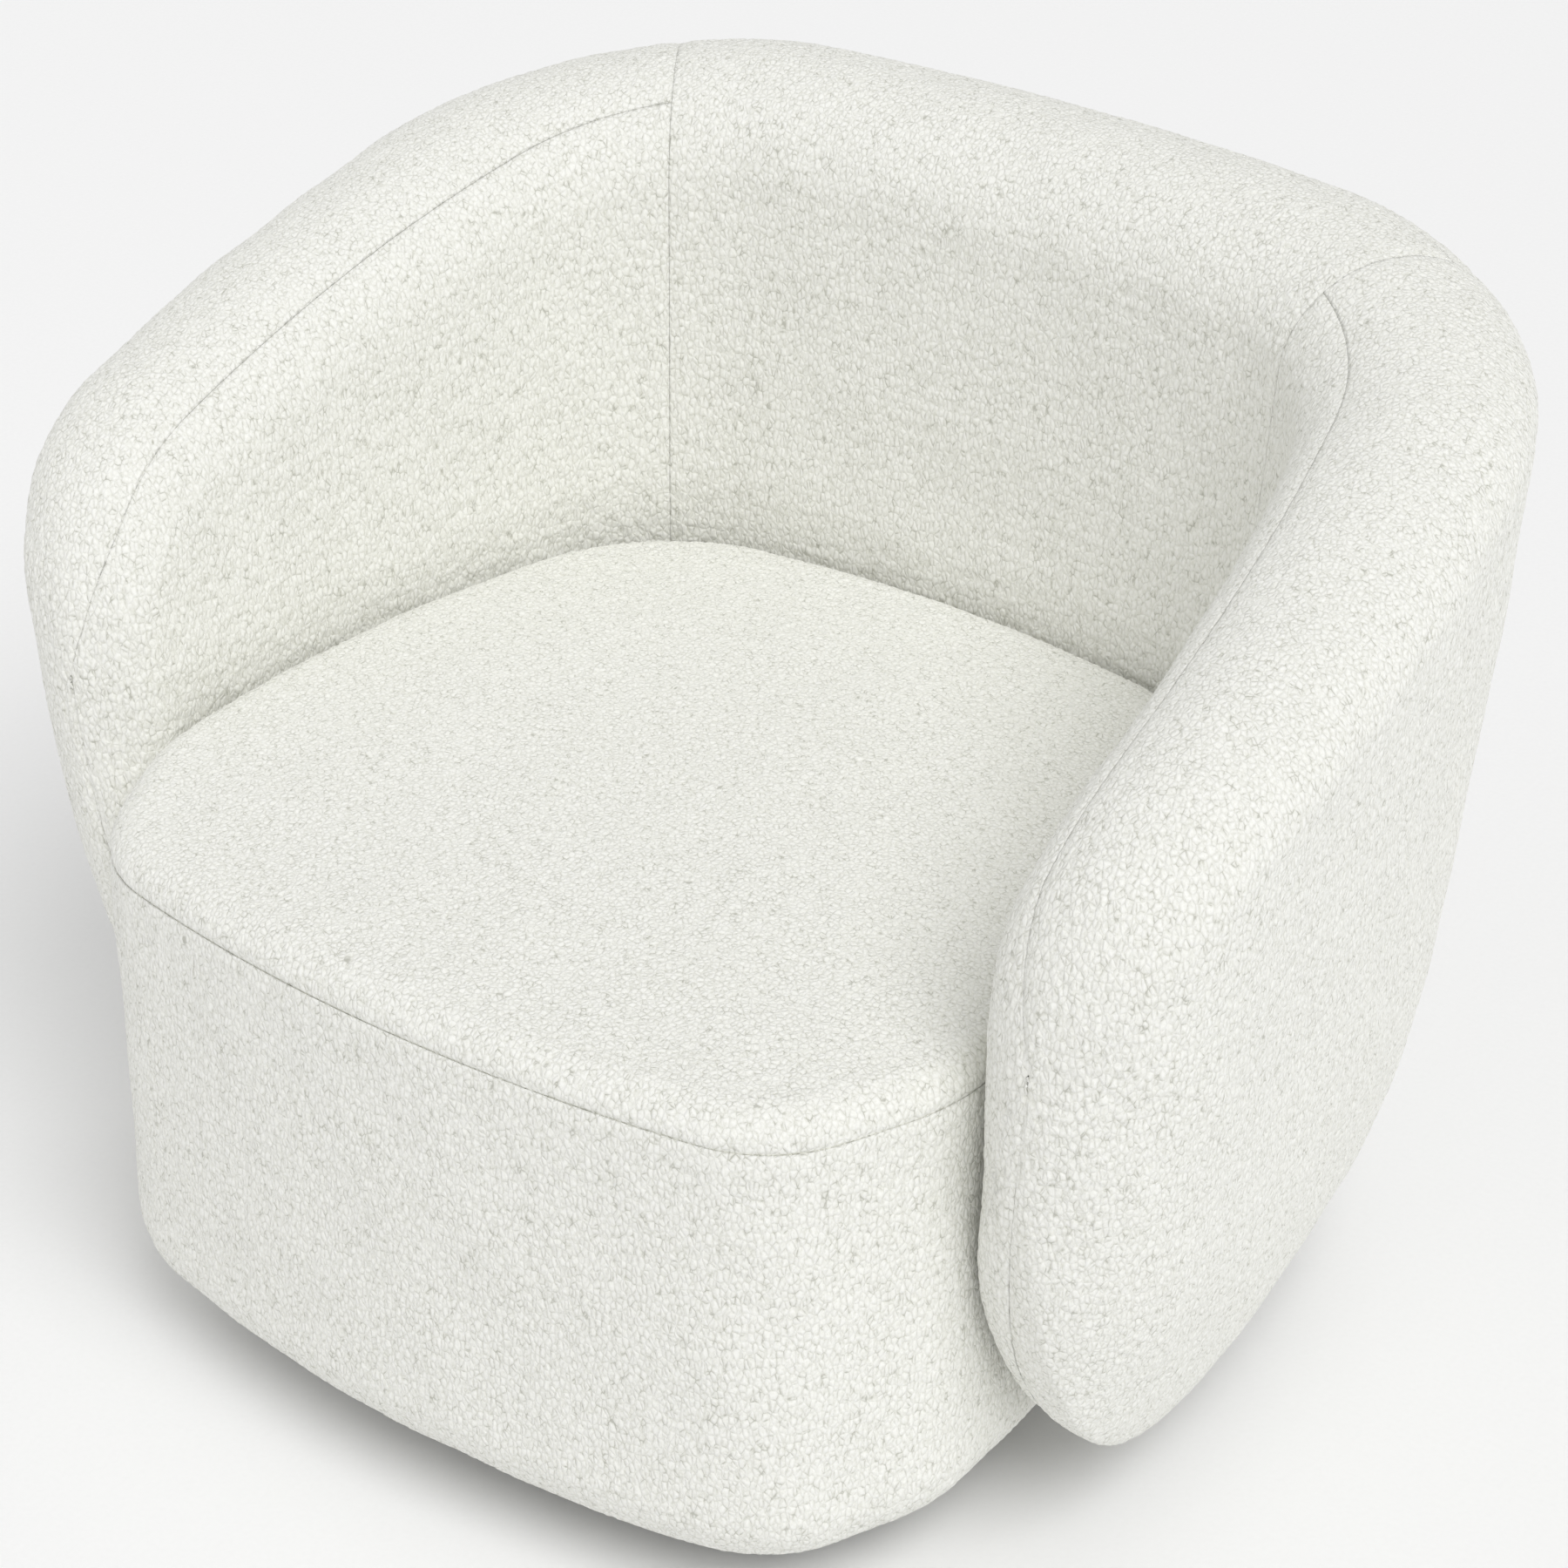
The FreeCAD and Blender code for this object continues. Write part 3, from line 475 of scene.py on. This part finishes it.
def wall_panel(s_from, s_to, stretches, side, seam_start, seam_end):
    """Grid of one panel: rows run over the stretches (side, q from, q to), columns along the wall."""
    s = wall_stations(s_from, s_to, side, seam_start, seam_end)
    middle = np.array([(s_from + s_to) / 2])
    samples = [(face, np.linspace(q_from, q_to, 400)) for face, q_from, q_to in stretches]
    line = np.concatenate([wall_surface(middle + 0 * q, face, q) for face, q in samples])
    run = np.concatenate([[0], np.cumsum(np.linalg.norm(np.diff(line, axis=0), axis=1))])
    wanted = spaced(run[-1], True, True) * run[-1]
    rows = []
    for k, (face, q) in enumerate(samples):
        mine = run[k * len(q):(k + 1) * len(q)]
        last = k == len(samples) - 1
        inside = (wanted >= mine[0]) & ((wanted <= mine[-1]) if last else (wanted < mine[-1]))
        q = np.interp(wanted[inside], mine, q)
        rows.append(wall_surface(s[None, :] + 0 * q[:, None], face, q[:, None] + 0 * s[None, :]))
    grid = np.concatenate(rows)
    return grid, wall_core(s[None, :] + 0 * grid[..., 2], grid[..., 2])


def top_q(share):
    """q on a face's top rounding where its half thickness has this share."""
    return 3 - math.asin(share) / (math.pi / 2)


inner_seam_q = top_q(INNER_SEAM)
outer_seam_q = top_q(OUTER_SEAM)
under_seam_q = math.asin(UNDER_SEAM) / (math.pi / 2)
INSIDE_BACK = [(-1, under_seam_q, 3.0), (1, 3.0, outer_seam_q)]
OUTSIDE_BACK = [(1, outer_seam_q, 0.0), (-1, 0.0, under_seam_q)]
INSIDE_ARM = [(-1, under_seam_q, inner_seam_q)]
OUTSIDE_ARM = [(-1, inner_seam_q, 3.0), (1, 3.0, 0.0), (-1, 0.0, under_seam_q)]
tip = WALL_HALF_LENGTH
PANELS = (
    ("inside_back", -CORNER_SEAM, CORNER_SEAM, INSIDE_BACK, -1),
    ("outside_back", -CORNER_SEAM, CORNER_SEAM, OUTSIDE_BACK, 1),
    ("inside_arm_left", -tip, -CORNER_SEAM, INSIDE_ARM, -1),
    ("outside_arm_left", -tip, -CORNER_SEAM, OUTSIDE_ARM, 1),
    ("inside_arm_right", CORNER_SEAM, tip, INSIDE_ARM, -1),
    ("outside_arm_right", CORNER_SEAM, tip, OUTSIDE_ARM, 1),
)
for panel, s_from, s_to, stretches, side in PANELS:
    seams = (True, True, s_from > -tip, s_to < tip)
    grid, core = wall_panel(s_from, s_to, stretches, side, *seams[2:])
    piece = cloth(panel + "_cloth", [grid], [core], [seams])
    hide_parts(panel + "_panel", panel + "_foam")


# ---- seat block ----
# The seat is one upholstered block: a domed top panel over foam, sewn round its softly rounded
# edge to a tall boxing that goes down over the rails and is stapled underneath the bottom board.
SEAT_FRONT_Y = -0.395
SEAT_BOTTOM = 0.035
SEAT_CROWN = 0.412
SEAT_SEAM_Z = 0.392
SEAT_UNDER_ROUND = 0.060
SEAT_EDGE_ROUND = 0.024
STAPLE_INSET = 0.070         # the boxing ends this far in under the board
DOME_RADIUS = 3.6
SEAT_FRONT_RADIUS = 0.989
SEAT_SIDE_RADIUS = 0.874
SEAT_SIDE_CENTRE = (-0.490, 0.077)
SEAT_ROUNDINGS = (0.100, 0.160, 0.150)
SEAT_GAP = 0.005             # to the back's inside; a little more to the arms'
SEAT_ARM_GAP = 0.004


def seat_circles():
    """The arcs of half the seat's outline, front to rear: four sides and three roundings between."""
    wall_gap = WALL_HALF_THICKNESS + SEAT_GAP
    sides = [
        (np.array([0.0, SEAT_FRONT_Y + SEAT_FRONT_RADIUS]), SEAT_FRONT_RADIUS),
        (np.array(SEAT_SIDE_CENTRE), SEAT_SIDE_RADIUS),
        (ARM_CENTRE, ARM_RADIUS - wall_gap - SEAT_ARM_GAP),
        (BACK_CENTRE, BACK_RADIUS - wall_gap),
    ]
    circles = [sides[0]]
    for (a, ra), (b, rb), radius in zip(sides, sides[1:], SEAT_ROUNDINGS):
        da = ra - radius
        db = rb - radius
        span = np.linalg.norm(b - a)
        along = (b - a) / span
        across = np.array([along[1], -along[0]])
        x = (da ** 2 - db ** 2 + span ** 2) / (2 * span)
        y = math.sqrt(da ** 2 - x ** 2)
        centre = max((a + along * x + across * k for k in (y, -y)), key=lambda p: p[0])
        circles += [(centre, radius), (b, rb)]
    return circles


def seat_outline():
    """Half outline, front to rear, as closely spaced points and outward directions."""
    circles = seat_circles()
    joints = [np.array([0.0, SEAT_FRONT_Y])]
    for (a, ra), (b, rb) in zip(circles, circles[1:]):
        (big, radius), small = ((a, ra), b) if ra > rb else ((b, rb), a)
        joints.append(big + (small - big) / np.linalg.norm(small - big) * radius)
    joints.append(np.array([0.0, circles[-1][0][1] + circles[-1][1]]))
    points = []
    outward = []
    for (centre, radius), start, end in zip(circles, joints, joints[1:]):
        angles = [math.atan2(*(p - centre)) for p in (start, end)]
        if abs(angles[1] - angles[0]) > math.pi:
            angles[1] += 2 * math.pi * math.copysign(1, angles[0] - angles[1])
        angle = np.linspace(*angles, 300)[:-1]
        points.append(arc_place(centre, radius, angle))
        outward.append(np.stack([np.sin(angle), np.cos(angle)], axis=-1))
    return np.concatenate(points), np.concatenate(outward)


def seat_loop(count):
    """The whole outline, evenly spaced, from the middle of the front round by the right."""
    points, outward = seat_outline()
    mirror = np.array([-1.0, 1.0])
    points = np.concatenate([points, points[::-1][:-1] * mirror, points[:1]])
    outward = np.concatenate([outward, outward[::-1][:-1] * mirror, outward[:1]])
    run = np.concatenate([[0], np.cumsum(np.linalg.norm(np.diff(points, axis=0), axis=1))])
    wanted = np.linspace(0, run[-1], count)
    place = np.stack([np.interp(wanted, run, points[:, k]) for k in (0, 1)], axis=-1)
    away = np.stack([np.interp(wanted, run, outward[:, k]) for k in (0, 1)], axis=-1)
    return place, away / np.linalg.norm(away, axis=1)[:, None]


def dome_height(place):
    """Height of the seat's top at a plan point: a shallow dome about the seat's middle."""
    middle_y = (SEAT_FRONT_Y + BACK_LINE_Y - WALL_HALF_THICKNESS) / 2
    squared = place[..., 0] ** 2 + (place[..., 1] - middle_y) ** 2
    return SEAT_CROWN - DOME_RADIUS + np.sqrt(DOME_RADIUS ** 2 - squared)


def seat_ring(place, away, inset, z):
    """Rows of the seat block round its outline: each row has its own inset and height."""
    plan = place[None] - away[None] * inset[:, None, None]
    return np.concatenate([plan, np.broadcast_to(z, plan.shape[:2])[..., None]], axis=-1)


def seat_patch(rim):
    """Grid inside a closed rim, cut into four edges: both pairs of edges blended across, less the corners."""
    steps = len(rim) // 4
    edges = [rim[(k * steps - steps // 2 + np.arange(steps + 1)) % len(rim)] for k in range(4)]
    front, right, rear, left = edges[0], edges[1], edges[2][::-1], edges[3][::-1]
    u = np.linspace(0, 1, steps + 1)
    across = u[None, :, None]
    back = u[:, None, None]
    patch = (1 - back) * front[None] + back * rear[None]
    patch = patch + (1 - across) * left[:, None] + across * right[:, None]
    patch = patch - (1 - back) * ((1 - across) * front[0] + across * front[-1])
    patch = patch - back * ((1 - across) * rear[0] + across * rear[-1])
    return np.concatenate([patch, dome_height(patch)[..., None]], axis=-1)


def seat_core(grid):
    """Point in the foam that faces a place on the seat: nearer the middle, and lower than the seam."""
    core = grid * np.array([0.8, 0.8, 0.0])
    core[..., 2] = np.minimum(grid[..., 2], SEAT_SEAM_Z - CORE_DEPTH)
    return core


SIDE_STEPS = 244
place, away = seat_loop(4 * SIDE_STEPS + 1)

edge_turn = np.linspace(0, math.pi / 2, 17)
edge_inset = SEAT_EDGE_ROUND * (1 - np.cos(edge_turn))
top_z = dome_height(place - away * SEAT_EDGE_ROUND)
drop = SEAT_EDGE_ROUND * (1 - np.sin(edge_turn))
shoulder = seat_ring(place, away, edge_inset, top_z[None] - drop[:, None])
lip_z = shoulder[0, :, 2]
top_patch = seat_patch(shoulder[-1, :-1, :2])
seat_top = cloth(
    "seat_top_cloth", [shoulder, top_patch], [seat_core(shoulder), seat_core(top_patch)],
    [(True, False, False, False), (False,) * 4])
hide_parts("seat_top_cover", "seat_cushion_foam")

under_turn = np.linspace(0, math.pi / 2, 34)
side_rows = spaced(SEAT_SEAM_Z - SEAT_BOTTOM - SEAT_UNDER_ROUND, True, False)
side_z = lip_z[None] + (SEAT_BOTTOM + SEAT_UNDER_ROUND - lip_z[None]) * side_rows[:, None]
upright = seat_ring(place, away, np.zeros(len(side_rows)), side_z)
under_inset = SEAT_UNDER_ROUND * (1 - np.cos(under_turn[1:]))
under_z = SEAT_BOTTOM + SEAT_UNDER_ROUND * (1 - np.sin(under_turn[1:]))
under = seat_ring(place, away, under_inset, under_z[:, None])
flat_inset = np.linspace(SEAT_UNDER_ROUND, STAPLE_INSET, 5)[1:]
flat = seat_ring(place, away, flat_inset, np.full((len(flat_inset), 1), SEAT_BOTTOM))
boxing_grid = np.concatenate([upright, under, flat])[::-1]
boxing = cloth(
    "seat_boxing_cloth", [boxing_grid], [seat_core(boxing_grid)], [(True, True, False, False)])
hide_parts("seat_boxing", "seat_wall_foam")


# ---- wooden parts ----
# The skeleton and the seat box are plywood and planed beech, glued, stapled and bolted.
# Bent hardboard lines the wall's skeleton on both faces, under the foam. The disc that stands on
# the floor is stained black, so that it goes unseen in the chair's shadow.
GRAIN_STRETCH = 9.0          # rings are this many times as long as they are wide


def wood_material(name, dark, light, ring_width, roughness):
    """Sawn timber or board: narrow bands of darker late wood in a lighter ground."""
    material, tree, shader = new_material(name)
    grain = add_node(
        tree, "ShaderNodeTexNoise", Vector=place_in(tree, Scale=(1.0, 1.0, GRAIN_STRETCH)),
        Scale=1 / (ring_width * GRAIN_STRETCH), Detail=5.0, Roughness=0.62, Distortion=0.6)
    colour = ramp(tree, grain.outputs["Fac"], [(0.36, dark), (0.64, light)])
    tree.links.new(colour, shader.inputs["Base Color"])
    bump = add_node(tree, "ShaderNodeBump", Strength=0.3, Distance=0.0004, Height=grain.outputs["Fac"])
    tree.links.new(bump.outputs["Normal"], shader.inputs["Normal"])
    shader.inputs["Roughness"].default_value = roughness
    return material


PLYWOOD = wood_material("plywood_birch_raw", "B98F5C", "D8B988", 0.0013, 0.62)
HARDWOOD = wood_material("beech_planed", "A87A4A", "C79C6B", 0.0020, 0.5)
HARDBOARD = wood_material("hardboard_smooth", "5E4429", "7A5A3A", 0.0006, 0.45)
BLACK_BOARD = wood_material("board_black_stained", "0C0B0A", "1A1816", 0.0013, 0.4)
finish({
    "plywood": PLYWOOD, "hardwood": HARDWOOD, "hardboard": HARDBOARD, "black_board": BLACK_BOARD})


# ---- metal parts ----
# Springs, clips, bolts and T-nuts are zinc-plated steel, bright but cloudy. The swivel's pressed
# plates are powder-coated black and matt. Its balls are ground and polished bearing steel.
def metal_material(name, tint, roughness, metallic):
    """Metal with faint cloudy variation of its polish, as plating or powder coat has."""
    material, tree, shader = new_material(name)
    cloud = add_node(tree, "ShaderNodeTexNoise", Vector=place_in(tree), Scale=1 / 0.012, Detail=4.0)
    spread = add_node(
        tree, "ShaderNodeMapRange", Value=cloud.outputs["Fac"],
        From_Min=0.3, From_Max=0.7, To_Min=roughness * 0.8, To_Max=roughness * 1.2)
    tree.links.new(spread.outputs["Result"], shader.inputs["Roughness"])
    shader.inputs["Base Color"].default_value = linear(tint)
    shader.inputs["Metallic"].default_value = metallic
    return material


ZINC = metal_material("steel_zinc_plated", "B9BCC0", 0.35, 1.0)
BLACK_STEEL = metal_material("steel_black_powder_coated", "161616", 0.5, 0.0)
BALL_STEEL = metal_material("bearing_steel_polished", "D4D5D8", 0.08, 1.0)
finish({"zinc_steel": ZINC, "black_steel": BLACK_STEEL, "bearing_steel": BALL_STEEL})


# ---- felt, lining, foam and moulded parts ----
# Pressed felt lies over the springs, black cambric is stapled under the seat, and cut foam pads
# the rest. The balls' cage is natural nylon, and the glides a black polymer, both moulded.
def fibre_material(name, dark, light, fibre, roughness):
    """Felt, cambric, foam or moulded plastic: fine speckle of its fibres, pores or flow."""
    material, tree, shader = new_material(name)
    speckle = add_node(tree, "ShaderNodeTexNoise", Vector=place_in(tree), Scale=1 / fibre, Detail=3.0)
    colour = ramp(tree, speckle.outputs["Fac"], [(0.35, dark), (0.65, light)])
    tree.links.new(colour, shader.inputs["Base Color"])
    bump = add_node(
        tree, "ShaderNodeBump", Strength=0.4, Distance=fibre / 4, Height=speckle.outputs["Fac"])
    tree.links.new(bump.outputs["Normal"], shader.inputs["Normal"])
    shader.inputs["Roughness"].default_value = roughness
    return material


FELT = fibre_material("felt_pressed_fibre", "6F6A62", "A39C90", 0.0015, 0.95)
CAMBRIC = fibre_material("cambric_black_nonwoven", "0B0B0B", "1C1C1C", 0.0009, 0.9)
FOAM = fibre_material("foam_upholstery", "D9CDA0", "EFE5C0", 0.0012, 0.9)
NYLON = fibre_material("nylon_natural_moulded", "D6D5CC", "E4E3DC", 0.004, 0.45)
GLIDE = fibre_material("polymer_black_moulded", "121212", "1E1E1E", 0.003, 0.5)
finish({"felt": FELT, "lining_fabric": CAMBRIC, "foam": FOAM, "nylon": NYLON, "glide_plastic": GLIDE})


# ---- floor, light and camera ----
# A flat floor painted matt white, a broad soft light from high on the +X side, a weak fill from
# the front on the -X side, and an even white surround.
def floor_material():
    """Matt white studio paint with a barely seen roller texture."""
    material, tree, shader = new_material("floor_matt_white")
    paint = add_node(tree, "ShaderNodeTexNoise", Vector=place_in(tree), Scale=1 / 0.004, Detail=2.0)
    colour = ramp(tree, paint.outputs["Fac"], [(0.0, "F6F6F6"), (1.0, "FBFBFB")])
    tree.links.new(colour, shader.inputs["Base Color"])
    shader.inputs["Roughness"].default_value = 0.9
    return material


FLOOR_REACH = 40.0
floor_corners = [(x * FLOOR_REACH, y * FLOOR_REACH, 0) for x, y in ((-1, -1), (1, -1), (1, 1), (-1, 1))]
floor_mesh = bpy.data.meshes.new("floor")
floor_mesh.from_pydata(floor_corners, [], [(0, 1, 2, 3)])
floor_mesh.materials.append(floor_material())
floor = bpy.data.objects.new("floor", floor_mesh)
bpy.context.scene.collection.objects.link(floor)


def aim(thing, place, target):
    """Puts a light or camera at a place, looking at the target with +Z up."""
    thing.location = place
    thing.rotation_euler = (Vector(target) - Vector(place)).to_track_quat("-Z", "Y").to_euler()
    bpy.context.scene.collection.objects.link(thing)


middle = (cad_low + cad_high) / 2
key = bpy.data.lights.new("key_softlight", "SUN")
key.energy = 1.4
key.angle = math.radians(35)
aim(bpy.data.objects.new("key_softlight", key), (1.7, -0.8, 2.9), middle)
fill = bpy.data.lights.new("fill_softbox", "AREA")
fill.shape = "SQUARE"
fill.size = 2.4
fill.energy = 8.0
aim(bpy.data.objects.new("fill_softbox", fill), (-2.8, -2.4, 2.2), middle)

world = bpy.data.worlds.new("white_surround")
world.use_nodes = True
world.node_tree.nodes["Background"].inputs["Color"].default_value = linear("FFFFFF")
world.node_tree.nodes["Background"].inputs["Strength"].default_value = 0.58
bpy.context.scene.world = world
bpy.context.scene.view_settings.view_transform = "Standard"

CAMERA_AZIMUTH = math.radians(36.98)
CAMERA_ELEVATION = math.radians(31.87)
CAMERA_DISTANCE = 2.812
target = Vector((0.0, -0.0236, 0.337))
lens = bpy.data.cameras.new("camera")
lens.sensor_width = 36.0
lens.lens = 97.16
lens.shift_x = 0.0239
lens.shift_y = 0.0247
camera = bpy.data.objects.new("camera", lens)
level = math.cos(CAMERA_ELEVATION)
towards = Vector((
    math.sin(CAMERA_AZIMUTH) * level, -math.cos(CAMERA_AZIMUTH) * level, math.sin(CAMERA_ELEVATION)))
aim(camera, target + towards * CAMERA_DISTANCE, target)
bpy.context.scene.camera = camera
